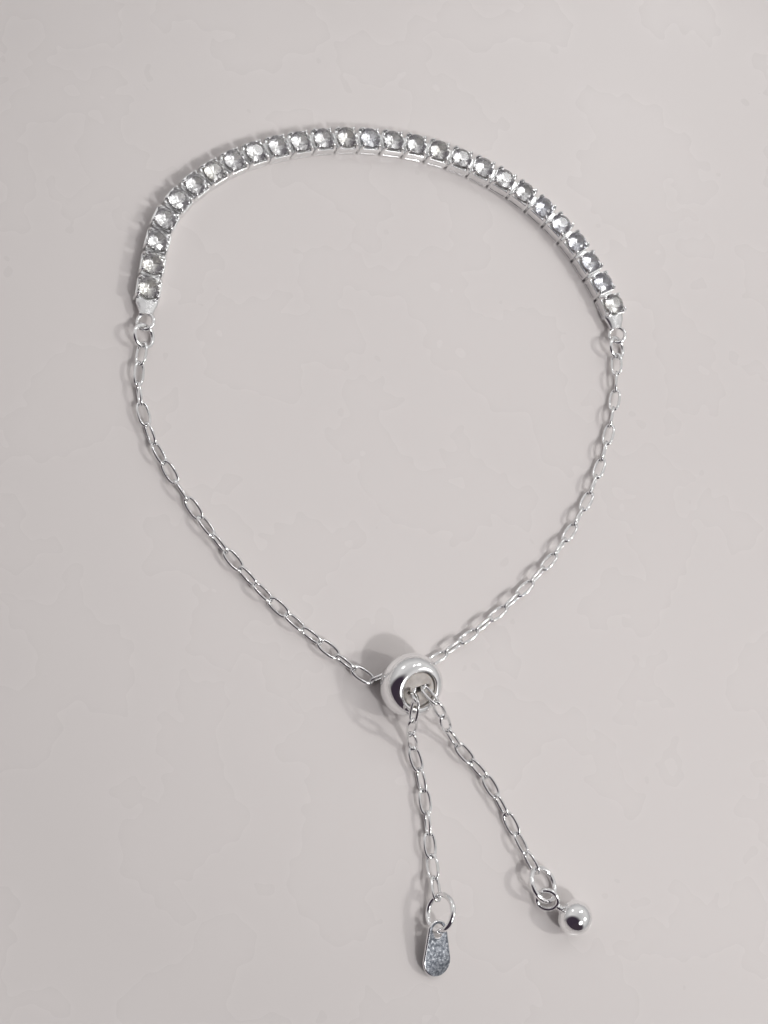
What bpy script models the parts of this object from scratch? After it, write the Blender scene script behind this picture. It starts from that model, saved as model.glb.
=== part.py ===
"""Half tennis bracelet with a sliding bead, laid out as a loop on a surface.

Metres, +Z up. The surface is Z = 0. +X runs from the left jump ring to the right
one, +Y from the free tails to the row of stones. The origin lies under the middle
of the whole piece. Sizes below are in millimetres, turned to metres by MM.
"""
import math

import bmesh
import bpy
import numpy as np
from mathutils import Matrix

MM = 0.001

# Row of stones and their settings
STONE_COUNT = 27
STONE_DIAMETER = 3.0
STONE_PITCH = 3.55
STONE_GIRDLE_HEIGHT = 2.2
CROWN_HEIGHT = 0.45
PAVILION_DEPTH = 1.2
TABLE_SHARE = 0.56
BOX_GAP = 0.4
BOX_WALL_MARGIN = 0.2
BOX_POST = 0.5
BASE_RAIL = 0.5
WINDOW_HEIGHT = 0.65
STONE_SEAT_GAP = 0.1
CLAW_RISE = 0.55
CLAW_LEAN = 0.09
CLAW_OUTER_LEAN = 0.03
HINGE_WIDTH = 1.1
HINGE_THICKNESS = 0.7

# Tabs that end the row, each with an eye for a jump ring
TAB_LENGTH = 1.9
TAB_TIP_WIDTH = 1.9
TAB_SIDE_INSET = 0.2
TAB_SHOULDER = 0.42
TAB_THICKNESS = 0.9
EYE_RADIUS = 1.15
EYE_WIRE = 0.5
EYE_HEIGHT = 1.25
EYE_LEAN = 30.0

# Cable chain
LINK_WIRE = 0.42
LINK_WIDTH = 1.85
LINK_PITCH = 2.774
LINK_OVERLAP = 0.06
CHAIN_LIFT = 0.01
TAIL_LINKS = 11

# Rings between the chain and what hangs on it
RING_WIRE = 0.6
RING_OUTER = 3.7
RING_LEAN = -30.0
TAIL_RING_WIRE = 0.72
TAIL_RING_OUTER = 5.2
LEFT_TAIL_RING_LEAN = 65.0
RIGHT_TAIL_RING_LEAN = -29.0
RING_CLEARANCE = 0.1

# Sliding bead and its soft core
BEAD_DIAMETER = 8.4
BEAD_THICKNESS = 4.7
BEAD_FACE_RADIUS = 2.6
BORE_CHAMFER = 0.25
BEAD_TILT = 28.6
BEAD_HEADING = -69.2
CORE_DIAMETER = 4.6
CORE_CLEARANCE = 0.1
CORE_FRONT_INSET = 0.35
CORE_BACK_INSET = 0.75
SLOT_WIDTH = 3.8
SLOT_HEIGHT = 2.1
SLOT_ROUNDNESS = 0.35
STRAND_OFFSET = 0.75
FRONT_JOINT_INSET = 0.5

# Charms at the ends of the tails
TAG_LENGTH = 7.2
TAG_WIDTH = 4.1
TAG_NECK_WIDTH = 2.8
TAG_THICKNESS = 0.45
TAG_HOLE = 1.7
TAG_SHOULDER_ANGLE = 105.0
TAG_LEAN = -12.0
TAG_HOOK_TURN = 30.0
BALL_DIAMETER = 4.5
BALL_NECK_LENGTH = 0.3
BALL_NECK_DIAMETER = 1.0
BALL_EYE_RADIUS = 1.375
BALL_EYE_WIRE = 0.65
BALL_HOOK_TURN = 12.0
BALL_SLACK = 0.9
BALL_HEADING = -35.0

# Facets and steps
TABLE_CORNERS = 8
GIRDLE_CORNERS = 16
LINK_SIDES = 5
LINK_ARC_STEPS = 4
RING_SIDES = 6
RING_SEGMENTS = 12
BEAD_SEGMENTS = 16
BULGE_STEPS = 7
CORE_SEGMENTS = 16
BALL_SEGMENTS = 12
NECK_SEGMENTS = 8
TAG_NECK_STEPS = 6
TAG_BELLY_STEPS = 10
HOLE_CORNERS = 12
ROUTE_STEPS = 40
HALVINGS = 40
STEEPEST_RISE = 0.7
STEEPEST_DIP = 1.2

# Chosen points of the routes, in millimetres, as the piece lies
BEAD_PLACE = (-0.97, -23.09)
ROUTES = {
    "row": [(-34.9, 24.4), (-34.4, 30.1), (-31.6, 41.3), (-23.7, 49.5), (-13.3, 54.4), (-2.1, 56.6),
            (9.4, 55.9), (20.2, 51.9), (28.9, 44.5), (34.6, 34.5), (35.1, 28.9)],
    "left": [(-35.8, 16.0), (-34.0, 9.0), (-30.4, 2.6), (-26.2, -3.4), (-21.5, -9.0),
             (-16.3, -14.0), (-10.7, -18.4), (-5.45, -22.1), (-2.74, -21.3)],
    "right": [(34.1, 20.9), (32.1, 13.7), (29.3, 6.8), (25.5, 0.3), (20.8, -5.5),
              (15.3, -10.7), (9.3, -15.3), (2.6, -19.6), (-0.2, -20.54)],
    "left_tail": [(-1.9, -26.1, 7.3), (-2.0, -27.8, 6.0), (-1.3, -29.3, 3.4), (-0.4, -30.9, 1.1),
                  (0.4, -33.6), (1.0, -37.7), (1.35, -44.5), (1.6, -51.5, 2.1)],
    "right_tail": [(1.2, -25.8, 6.2), (2.7, -27.3, 4.4), (4.2, -28.8, 2.4), (5.9, -30.5, 1.1),
                   (7.1, -31.8), (9.6, -34.6), (12.4, -39.8), (14.2, -43.6), (17.2, -50.0, 2.0)],
}

# How each link leans about its own length, read off by eye. A run is read from the bead
# back to the ring, with the two links that climb into the bead first, and a tail from the
# bead to its end.
LEANS = {"F": 0.0, "S": 75.0, "E": -90.0, "L": -30.0, "R": 45.0, "D": -65.0}
RUN_LAYS = {"left": "RLSFEFSLRLSFELRDRLSFELR", "right": "RL" + "DR" * 11}
TAIL_LAYS = {"left": "LSFSFSFEFRL", "right": "LSFEFSFERLS"}


def remove_scene_objects():
    for item in list(bpy.data.objects):
        bpy.data.objects.remove(item, do_unlink=True)


def unit(vector):
    return vector / np.linalg.norm(vector)


def metal(name, colour, roughness):
    return principled(name, colour, roughness, 1.0)


def principled(name, colour, roughness, metallic):
    material = bpy.data.materials.new(name)
    material.use_nodes = True
    shader = material.node_tree.nodes["Principled BSDF"]
    shader.inputs["Base Color"].default_value = (*colour, 1.0)
    shader.inputs["Roughness"].default_value = roughness
    shader.inputs["Metallic"].default_value = metallic
    return material


def object_from_bmesh(name, shape, material=None):
    """Turn a bmesh in millimetres into a named object in metres."""
    bmesh.ops.recalc_face_normals(shape, faces=shape.faces)
    bmesh.ops.scale(shape, vec=(MM, MM, MM), verts=shape.verts)
    mesh = bpy.data.meshes.new(name)
    shape.to_mesh(mesh)
    shape.free()
    item = bpy.data.objects.new(name, mesh)
    bpy.context.scene.collection.objects.link(item)
    if material:
        mesh.materials.append(material)
    return item


def joined_solid(first, second):
    """Union two objects into the first, and remove the second."""
    union = first.modifiers.new("Union", "BOOLEAN")
    union.operation = "UNION"
    union.solver = "EXACT"
    union.object = second
    baked = baked_mesh(first)
    first.modifiers.clear()
    first.data = baked
    bpy.data.objects.remove(second, do_unlink=True)
    return first


def baked_mesh(item):
    bpy.context.view_layer.update()
    graph = bpy.context.evaluated_depsgraph_get()
    return bpy.data.meshes.new_from_object(item.evaluated_get(graph))


def smooth_route(points):
    """A smooth curve through the chosen points, as many short steps."""
    knots = np.array(points, float)
    knots = np.vstack([2 * knots[0] - knots[1], knots, 2 * knots[-1] - knots[-2]])
    share = np.linspace(0.0, 1.0, ROUTE_STEPS, endpoint=False)[:, None]
    curve = []
    for before, start, end, after in zip(knots, knots[1:], knots[2:], knots[3:]):
        curve.append(0.5 * (2 * start + (end - before) * share
                            + (2 * before - 5 * start + 4 * end - after) * share ** 2
                            + (3 * start - before - 3 * end + after) * share ** 3))
    curve.append(knots[-2:-1])
    return np.vstack(curve)


def led_on(curve, reach):
    """The curve with a level straight end, so that longer links still find their places."""
    onward = unit((curve[-1] - curve[-2]) * (1.0, 1.0, 0.0))
    return np.vstack([curve, curve[-1] + onward * reach])


def walk(curve, step, count):
    """Points on the curve a straight step apart, starting at its first point."""
    places = [curve[0]]
    index = 1
    while index < len(curve) and len(places) <= count:
        here = places[-1]
        if np.linalg.norm(curve[index] - here) < step:
            index += 1
            continue
        low, high = 0.0, 1.0
        for _ in range(HALVINGS):
            middle = 0.5 * (low + high)
            point = curve[index - 1] + (curve[index] - curve[index - 1]) * middle
            if np.linalg.norm(point - here) < step:
                low = middle
            else:
                high = middle
        places.append(curve[index - 1] + (curve[index] - curve[index - 1]) * high)
    return np.array(places)


def step_that_fits(curve, wanted):
    """The step nearest the wanted one that ends exactly on the curve's last point."""
    length = np.linalg.norm(np.diff(curve, axis=0), axis=1).sum()
    count = max(2, round(length / wanted))
    low, high = 0.8 * length / count, 1.05 * length / count
    for _ in range(HALVINGS):
        middle = 0.5 * (low + high)
        if len(walk(curve, middle, count)) == count + 1:
            low = middle
        else:
            high = middle
    return low, count


def frame_along(direction):
    """Unit vectors along a direction, sideways from it and up from it."""
    forward = unit(np.asarray(direction, float))
    side = unit(np.cross(forward, (0.0, 0.0, 1.0)))
    return forward, side, np.cross(side, forward)


def leaning_frame(direction, lean):
    """Along, width and face vectors of a flat loop that leans about its length."""
    forward, side, up = frame_along(direction)
    turn = math.radians(lean)
    width = side * math.cos(turn) - up * math.sin(turn)
    face = up * math.cos(turn) + side * math.sin(turn)
    return forward, width, face


def add_loop_tube(shape, centres, outwards, face, wire, sides):
    """Sweep a round wire along a closed flat loop."""
    rings = []
    for centre, outward in zip(centres, outwards):
        ring = []
        for side in range(sides):
            angle = math.pi + math.tau * side / sides
            spot = centre + 0.5 * wire * (outward * math.cos(angle) + face * math.sin(angle))
            ring.append(shape.verts.new(spot))
        rings.append(ring)
    for index, ring in enumerate(rings):
        following = rings[(index + 1) % len(rings)]
        for side in range(sides):
            onward = (side + 1) % sides
            shape.faces.new((ring[side], following[side], following[onward], ring[onward]))


def add_link(shape, start, end, lean):
    """An oval link whose inner ends lie just past the two joints."""
    forward, width, face = leaning_frame(end - start, lean)
    centre = 0.5 * (start + end)
    inner_length = np.linalg.norm(end - start) - LINK_OVERLAP
    bend = 0.5 * (LINK_WIDTH - LINK_WIRE)
    straight = 0.5 * inner_length + 0.5 * LINK_WIRE - bend
    centres, outwards = [], []
    for sign in (1.0, -1.0):
        for step in range(LINK_ARC_STEPS + 1):
            angle = math.pi * (step / LINK_ARC_STEPS - 0.5)
            outward = sign * (forward * math.cos(angle) + width * math.sin(angle))
            centres.append(centre + sign * straight * forward + bend * outward)
            outwards.append(outward)
    add_loop_tube(shape, centres, outwards, face, LINK_WIRE, LINK_SIDES)


def threaded_frame(along, wire):
    """Along, width and face vectors of a flat loop that a wire passes straight through."""
    forward = unit(along)
    face = unit(wire - forward * (forward @ wire))
    return forward, np.cross(face, forward), face


def add_ring(shape, centre, frame, radius, wire):
    """A round ring, radius to the middle of its wire."""
    forward, width, face = frame
    centres, outwards = [], []
    for index in range(RING_SEGMENTS):
        angle = math.tau * index / RING_SEGMENTS
        outward = forward * math.cos(angle) + width * math.sin(angle)
        centres.append(centre + radius * outward)
        outwards.append(outward)
    add_loop_tube(shape, centres, outwards, face, wire, RING_SIDES)


def add_turned(shape, centre, axis, profile, segments):
    """Turn a closed or pole-to-pole profile of (radius, along) about an axis."""
    side = unit(np.cross(axis, (0.0, 1.0, 0.31)))
    other = np.cross(axis, side)
    rings = []
    for radius, along in profile:
        if radius == 0.0:
            rings.append([shape.verts.new(centre + along * axis)])
            continue
        ring = []
        for index in range(segments):
            angle = math.tau * index / segments
            spoke = side * math.cos(angle) + other * math.sin(angle)
            ring.append(shape.verts.new(centre + radius * spoke + along * axis))
        rings.append(ring)
    closed = profile[0][0] > 0.0
    pairs = list(zip(rings, rings[1:]))
    if closed:
        pairs.append((rings[-1], rings[0]))
    for lower, upper in pairs:
        for index in range(segments):
            onward = (index + 1) % segments
            corners = [lower[index % len(lower)], lower[onward % len(lower)],
                       upper[onward % len(upper)], upper[index % len(upper)]]
            shape.faces.new(list(dict.fromkeys(corners)))


def add_prism(shape, outline, thickness, origin, along, width, face):
    """Extrude a flat outline of (along, width) points to both sides of a plane."""
    layers = []
    for sign in (-0.5, 0.5):
        layers.append([shape.verts.new(origin + along * a + width * w + face * thickness * sign)
                       for a, w in outline])
    shape.faces.new(layers[0])
    shape.faces.new(layers[1])
    count = len(outline)
    for index in range(count):
        onward = (index + 1) % count
        shape.faces.new((layers[0][index], layers[0][onward], layers[1][onward], layers[1][index]))


def row_places():
    """Centres and directions of the settings, and the directions of the two end tabs.

    The middle of the row lies on the route's middle.
    """
    curve = smooth_route([(*point, 0.0) for point in ROUTES["row"]])
    lengths = np.concatenate([[0.0], np.cumsum(np.linalg.norm(np.diff(curve, axis=0), axis=1))])

    def spot(reach):
        if reach < 0.0:
            return curve[0] + unit(curve[0] - curve[1]) * -reach
        if reach > lengths[-1]:
            return curve[-1] + unit(curve[-1] - curve[-2]) * (reach - lengths[-1])
        return np.array([np.interp(reach, lengths, curve[:, axis]) for axis in range(3)])

    centres, tangents = [], []
    for index in range(STONE_COUNT):
        reach = 0.5 * lengths[-1] + STONE_PITCH * (index - 0.5 * (STONE_COUNT - 1))
        half = 0.5 * STONE_PITCH
        centres.append(spot(reach))
        tangents.append(unit(spot(reach + half) - spot(reach - half)))
    end_reach = 0.5 * STONE_PITCH * (STONE_COUNT - 1)
    outwards = []
    for sign in (-1.0, 1.0):
        last = 0.5 * lengths[-1] + sign * end_reach
        outwards.append(unit(spot(last + sign * tab_reach()) - spot(last)))
    return centres, tangents, outwards


def tab_reach():
    """From the middle of the last setting to the middle of the tab's eye."""
    return box_half_sizes()[0] + TAB_LENGTH + EYE_RADIUS


def add_stone(shape, place, forward, width):
    """A round brilliant: table, crown, girdle and a pointed pavilion."""
    radius = 0.5 * STONE_DIAMETER
    up = np.array([0.0, 0.0, 1.0])
    middle = math.pi / TABLE_CORNERS

    def ring(count, size, level, start):
        corners = []
        for index in range(count):
            angle = start + math.tau * index / count
            spot = place + size * (forward * math.cos(angle) + width * math.sin(angle)) + up * level
            corners.append(shape.verts.new(spot))
        return corners

    table = ring(TABLE_CORNERS, radius * TABLE_SHARE, STONE_GIRDLE_HEIGHT + CROWN_HEIGHT, middle)
    girdle = ring(GIRDLE_CORNERS, radius, STONE_GIRDLE_HEIGHT, 0.0)
    culet = shape.verts.new(place + up * (STONE_GIRDLE_HEIGHT - PAVILION_DEPTH))
    shape.faces.new(table)
    for index in range(TABLE_CORNERS):
        here = table[index]
        onward = table[(index + 1) % TABLE_CORNERS]
        first, second, third = [girdle[(2 * index + step) % GIRDLE_CORNERS] for step in (1, 2, 3)]
        shape.faces.new((here, first, second))
        shape.faces.new((here, second, onward))
        shape.faces.new((onward, second, third))
    for index in range(GIRDLE_CORNERS):
        shape.faces.new((girdle[index], girdle[(index + 1) % GIRDLE_CORNERS], culet))


def box_half_sizes():
    return 0.5 * (STONE_PITCH - BOX_GAP), 0.5 * STONE_DIAMETER + BOX_WALL_MARGIN


def wall_top():
    """Height of the walls, under the stone where it reaches over them."""
    half_length, _ = box_half_sizes()
    reach = half_length - BOX_POST
    slope = PAVILION_DEPTH / (0.5 * STONE_DIAMETER)
    return STONE_GIRDLE_HEIGHT - (0.5 * STONE_DIAMETER - reach) * slope - STONE_SEAT_GAP


def add_setting(shape, place, forward, width):
    """A square box of rails and corner posts, with claws over the stone."""
    half_length, half_width = box_half_sizes()
    up = np.array([0.0, 0.0, 1.0])
    ground, top = 0.0, wall_top()
    window_top = BASE_RAIL + WINDOW_HEIGHT
    claw_top = STONE_GIRDLE_HEIGHT + CLAW_RISE
    corners = {}

    def corner(sx, sy, inner_x, inner_y, level):
        key = (sx, sy, inner_x, inner_y, level)
        if key not in corners:
            x = half_length - (BOX_POST if inner_x else 0.0)
            y = half_width - (BOX_POST if inner_y else 0.0)
            if level == claw_top:
                x -= CLAW_LEAN if inner_x else CLAW_OUTER_LEAN
                y -= CLAW_LEAN if inner_y else CLAW_OUTER_LEAN
            corners[key] = shape.verts.new(place + forward * sx * x + width * sy * y + up * level)
        return corners[key]

    def face(*keys):
        shape.faces.new([corner(*key) for key in keys])

    for sx in (1, -1):
        for sy in (1, -1):
            outer = (sx, sy, False, False)
            along_x = (sx, sy, True, False)
            along_y = (sx, sy, False, True)
            inner = (sx, sy, True, True)
            for a, b in ((outer, along_x), (outer, along_y), (along_x, inner), (along_y, inner)):
                face((*a, top), (*b, top), (*b, claw_top), (*a, claw_top))
            face((*outer, claw_top), (*along_x, claw_top), (*inner, claw_top), (*along_y, claw_top))
            face((*outer, ground), (*along_x, BASE_RAIL), (*along_x, window_top), (*along_x, top),
                 (*outer, top))
            face((*along_x, BASE_RAIL), (*inner, BASE_RAIL), (*inner, window_top),
                 (*along_x, window_top))
        ends = [(sx, 1, False, True), (sx, -1, False, True)]
        inners = [(sx, 1, True, True), (sx, -1, True, True)]
        outers = [(sx, 1, False, False), (sx, -1, False, False)]
        face((*outers[0], ground), (*outers[1], ground), (*inners[1], ground), (*inners[0], ground))
        face((*ends[0], top), (*ends[1], top), (*inners[1], top), (*inners[0], top))
        face((*inners[0], ground), (*inners[1], ground), (*inners[1], BASE_RAIL),
             (*inners[1], window_top), (*inners[1], top), (*inners[0], top),
             (*inners[0], window_top), (*inners[0], BASE_RAIL))
        face((*outers[0], ground), (*outers[1], ground), (*outers[1], top), (*ends[1], top),
             (*ends[0], top), (*outers[0], top))
    for sy in (1, -1):
        feet = [(1, sy, False, False), (-1, sy, False, False)]
        outs = [(1, sy, True, False), (-1, sy, True, False)]
        ins = [(1, sy, True, True), (-1, sy, True, True)]
        face((*feet[0], ground), (*feet[1], ground), (*ins[1], ground), (*ins[0], ground))
        face((*feet[0], ground), (*feet[1], ground), (*outs[1], BASE_RAIL), (*outs[0], BASE_RAIL))
        face((*ins[0], ground), (*ins[1], ground), (*ins[1], BASE_RAIL), (*ins[0], BASE_RAIL))
        for level in (BASE_RAIL, window_top, top):
            face((*outs[0], level), (*outs[1], level), (*ins[1], level), (*ins[0], level))
        for pair in (outs, ins):
            face((*pair[0], window_top), (*pair[1], window_top), (*pair[1], top), (*pair[0], top))


def make_stones(centres, tangents, material):
    for index, (place, forward) in enumerate(zip(centres, tangents), start=1):
        _, side, _ = frame_along(forward)
        shape = bmesh.new()
        add_stone(shape, place, forward, side)
        object_from_bmesh(f"stone_{index:02d}", shape, material)


def tab_spots(place, outward):
    """Where a tab starts on the last setting, and the centre of its eye."""
    half_length, _ = box_half_sizes()
    root = place + outward * half_length + np.array([0.0, 0.0, EYE_HEIGHT])
    return root, root + outward * (TAB_LENGTH + EYE_RADIUS)


def make_settings(centres, tangents, outwards, material):
    """All the boxes, the bars that join them and the two end tabs, as one solid."""
    boxes = bmesh.new()
    bars = bmesh.new()
    eyes = bmesh.new()
    half_length, half_width = box_half_sizes()
    bar_level = np.array([0.0, 0.0, BASE_RAIL + 0.5 * HINGE_THICKNESS])
    for place, forward in zip(centres, tangents):
        _, side, _ = frame_along(forward)
        add_setting(boxes, place, forward, side)
    for here, following in zip(centres, centres[1:]):
        forward, side, up = frame_along(following - here)
        reach = 0.5 * np.linalg.norm(following - here) - half_length + 0.5 * BOX_POST
        outline = [(-reach, -0.5 * HINGE_WIDTH), (reach, -0.5 * HINGE_WIDTH),
                   (reach, 0.5 * HINGE_WIDTH), (-reach, 0.5 * HINGE_WIDTH)]
        add_prism(bars, outline, HINGE_THICKNESS, 0.5 * (here + following) + bar_level,
                  forward, side, up)
    for place, outward in zip((centres[0], centres[-1]), outwards):
        root, eye = tab_spots(place, outward)
        forward, side, up = frame_along(outward)
        wide = half_width - TAB_SIDE_INSET
        tip = TAB_LENGTH + 0.5 * EYE_WIRE
        outline = [(-BOX_POST, -wide), (TAB_SHOULDER, -wide), (tip, -0.5 * TAB_TIP_WIDTH),
                   (tip, 0.5 * TAB_TIP_WIDTH), (TAB_SHOULDER, wide), (-BOX_POST, wide)]
        add_prism(bars, outline, TAB_THICKNESS, root, forward, side, up)
        add_ring(eyes, eye, leaning_frame(outward, EYE_LEAN), EYE_RADIUS, EYE_WIRE)
    row = object_from_bmesh("settings_row", boxes, material)
    joined_solid(row, object_from_bmesh("row_bars", bars, material))
    joined_solid(row, object_from_bmesh("row_eyes", eyes, material))
    return row


def chain_level():
    """Height of the chain's middle line, where its steepest links just touch the surface."""
    return 0.5 * LINK_WIDTH + CHAIN_LIFT


def with_height(points):
    return [np.array(point if len(point) == 3 else (*point, chain_level()), float)
            for point in points]


def lifted(curve):
    """The curve with no point lower than the chain's middle line on the surface."""
    return np.maximum(curve, (-np.inf, -np.inf, chain_level()))


def bead_frame():
    """Place of the bead's middle, and its axis, level side and downhill vectors."""
    tilt, heading = math.radians(BEAD_TILT), math.radians(BEAD_HEADING)
    level = np.array([math.cos(heading), math.sin(heading), 0.0])
    up = np.array([0.0, 0.0, 1.0])
    axis = level * math.sin(tilt) + up * math.cos(tilt)
    downhill = level * math.cos(tilt) - up * math.sin(tilt)
    side = np.array([-level[1], level[0], 0.0])
    height = 0.0
    for radius, along in bead_profile():
        height = max(height, radius * math.sin(tilt) + along * math.cos(tilt))
    return np.array([*BEAD_PLACE, height]), axis, side, downhill


def bead_profile():
    """Section of the bead as (radius, along) points, round the hole and the bulge."""
    half = 0.5 * BEAD_THICKNESS
    bore = 0.5 * CORE_DIAMETER + CORE_CLEARANCE
    bulge = 0.5 * BEAD_DIAMETER - BEAD_FACE_RADIUS
    profile = [(bore, -half + BORE_CHAMFER), (BEAD_FACE_RADIUS, -half)]
    for step in range(1, BULGE_STEPS):
        angle = math.pi * (step / BULGE_STEPS - 0.5)
        profile.append((BEAD_FACE_RADIUS + bulge * math.cos(angle), half * math.sin(angle)))
    profile += [(BEAD_FACE_RADIUS, half), (bore, half - BORE_CHAMFER)]
    return profile


def make_bead(material):
    middle, axis, _, _ = bead_frame()
    shape = bmesh.new()
    add_turned(shape, middle, axis, bead_profile(), BEAD_SEGMENTS)
    return object_from_bmesh("slider_bead", shape, material)


def make_core(material):
    """The soft plug in the bead, with one long slot for both strands."""
    middle, axis, side, downhill = bead_frame()
    half = 0.5 * BEAD_THICKNESS
    low, high = -half + CORE_BACK_INSET, half - CORE_FRONT_INSET
    outer, inner = [], []
    for index in range(CORE_SEGMENTS):
        angle = math.tau * (index + 0.5) / CORE_SEGMENTS
        across, down = math.cos(angle), math.sin(angle)
        outer.append((0.5 * CORE_DIAMETER * across, 0.5 * CORE_DIAMETER * down))
        inner.append((math.copysign(0.5 * SLOT_WIDTH * abs(across) ** SLOT_ROUNDNESS, across),
                      math.copysign(0.5 * SLOT_HEIGHT * abs(down) ** SLOT_ROUNDNESS, down)))
    shape = bmesh.new()
    rings = []
    for outline, along in ((outer, low), (outer, high), (inner, high), (inner, low)):
        rings.append([shape.verts.new(middle + side * a + downhill * d + axis * along)
                      for a, d in outline])
    for here, following in zip(rings, rings[1:] + rings[:1]):
        for index in range(CORE_SEGMENTS):
            onward = (index + 1) % CORE_SEGMENTS
            shape.faces.new((here[index], here[onward], following[onward], following[index]))
    return object_from_bmesh("silicone_core", shape, material)


def strand_joints(side_name, ring_joint):
    """All the joints of a strand, from its jump ring through the bead to the tail's end."""
    middle, axis, side, _ = bead_frame()
    offset = STRAND_OFFSET if side_name == "right" else -STRAND_OFFSET
    front = middle + side * offset + axis * (0.5 * BEAD_THICKNESS - FRONT_JOINT_INSET)
    back = front - axis * LINK_PITCH
    route = with_height(ROUTES[side_name])
    under = route[-1]
    drop = under - back
    level_reach = math.sqrt(max(0.01, LINK_PITCH ** 2 - drop[2] ** 2))
    sideways = unit(drop[:2]) * level_reach
    under = np.array([back[0] + sideways[0], back[1] + sideways[1], under[2]])
    curve = lifted(smooth_route([ring_joint] + route[:-1] + [under]))
    step, count = step_that_fits(curve, LINK_PITCH)
    run = walk(curve, step, count)
    run[-1] = under
    tail_curve = lifted(smooth_route([front] + with_height(ROUTES[side_name + "_tail"])))
    tail = walk(led_on(tail_curve, LINK_PITCH * TAIL_LINKS), LINK_PITCH, TAIL_LINKS)
    return np.vstack([run, back, tail]), count + 2


def lay_of_strand(side_name, run_links):
    """A letter of LEANS for each link, from the ring to the tail's end."""
    run_lay, tail_lay = RUN_LAYS[side_name], TAIL_LAYS[side_name]
    run = [run_lay[index % len(run_lay)] for index in range(run_links)]
    tail = [tail_lay[index % len(tail_lay)] for index in range(TAIL_LINKS)]
    return run[::-1] + tail


def make_chain(name, joints, lay, material):
    """Every other link in each of two meshes, which a union makes one solid."""
    parity = [bmesh.new(), bmesh.new()]
    for index, (start, end) in enumerate(zip(joints, joints[1:])):
        add_link(parity[index % 2], start, end, LEANS[lay[index]])
    chain = object_from_bmesh(name, parity[0], material)
    return joined_solid(chain, object_from_bmesh(name + "_other", parity[1], material))


def jump_ring_spot(eye, towards):
    """Centre and direction of the ring that hangs in an eye, just clear of its wire."""
    direction = unit(towards - eye)
    taut = EYE_RADIUS - 0.5 * (EYE_WIRE + RING_WIRE) - RING_CLEARANCE
    return eye + direction * (taut + 0.5 * (RING_OUTER - RING_WIRE)), direction


def ring_joint_spot(centre, direction, outer, wire):
    """Where a link's inner end lies inside a ring, just clear of the ring's wire."""
    return centre + direction * (0.5 * outer - wire - RING_CLEARANCE - 0.5 * LINK_OVERLAP)


def make_jump_ring(name, centre, direction, material):
    shape = bmesh.new()
    frame = leaning_frame(direction, RING_LEAN)
    add_ring(shape, centre, frame, 0.5 * (RING_OUTER - RING_WIRE), RING_WIRE)
    return object_from_bmesh(name, shape, material)


def tail_ring_spot(joints, lean):
    """Centre and direction of the ring in a tail's last link, its low edge on the surface."""
    end = joints[-1]
    level = unit((end - joints[-2]) * (1.0, 1.0, 0.0))
    reach = 0.5 * TAIL_RING_OUTER - TAIL_RING_WIRE - RING_CLEARANCE - 0.5 * LINK_OVERLAP
    radius = 0.5 * (TAIL_RING_OUTER - TAIL_RING_WIRE)
    rise = 0.0
    for _ in range(HALVINGS):
        direction = level * math.sqrt(1.0 - rise ** 2) + np.array([0.0, 0.0, rise])
        _, width, _ = leaning_frame(direction, lean)
        height = radius * math.hypot(width[2], rise) + 0.5 * TAIL_RING_WIRE + CHAIN_LIFT
        wanted = (height - end[2]) / reach
        rise = 0.5 * rise + 0.5 * max(-STEEPEST_RISE, min(STEEPEST_RISE, wanted))
    return end + direction * reach, direction


def make_tail_ring(name, centre, direction, lean, material):
    shape = bmesh.new()
    radius = 0.5 * (TAIL_RING_OUTER - TAIL_RING_WIRE)
    add_ring(shape, centre, leaning_frame(direction, lean), radius, TAIL_RING_WIRE)
    return object_from_bmesh(name, shape, material)


def ring_spoke(direction, lean, turn):
    """From a ring's middle to a place turned from its far end, and the wire's way there."""
    forward, width, _ = leaning_frame(direction, lean)
    angle = math.radians(turn)
    spoke = forward * math.cos(angle) + width * math.sin(angle)
    return spoke, width * math.cos(angle) - forward * math.sin(angle)


def resting_frame(origin, direction, outline):
    """Frame of the leaning plate, dipped until its low edge lies on the surface."""
    level = unit(direction * (1.0, 1.0, 0.0))
    low, high = 0.0, STEEPEST_DIP
    for _ in range(HALVINGS):
        dip = 0.5 * (low + high)
        along, side, face = leaning_frame(
            level * math.cos(dip) - np.array([0.0, 0.0, math.sin(dip)]), TAG_LEAN)
        bottom = min(origin[2] + along[2] * a + side[2] * w for a, w in outline)
        if bottom - 0.5 * TAG_THICKNESS * abs(face[2]) > CHAIN_LIFT:
            low = dip
        else:
            high = dip
    return along, side, face


def arc(radius, place, first, last, steps):
    """Points round a centre on the first axis, from one angle in degrees to another."""
    turns = [math.radians(first + (last - first) * step / steps) for step in range(steps + 1)]
    return [(place + radius * math.cos(turn), radius * math.sin(turn)) for turn in turns]


def teardrop():
    """Outline of the tag as (along, width) points, from the middle of its hole."""
    neck, belly = 0.5 * TAG_NECK_WIDTH, 0.5 * TAG_WIDTH
    top = arc(neck, 0.0, TAG_SHOULDER_ANGLE, 360.0 - TAG_SHOULDER_ANGLE, TAG_NECK_STEPS)
    place = TAG_LENGTH - neck - belly
    return top + arc(belly, place, -TAG_SHOULDER_ANGLE, TAG_SHOULDER_ANGLE, TAG_BELLY_STEPS)


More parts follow.
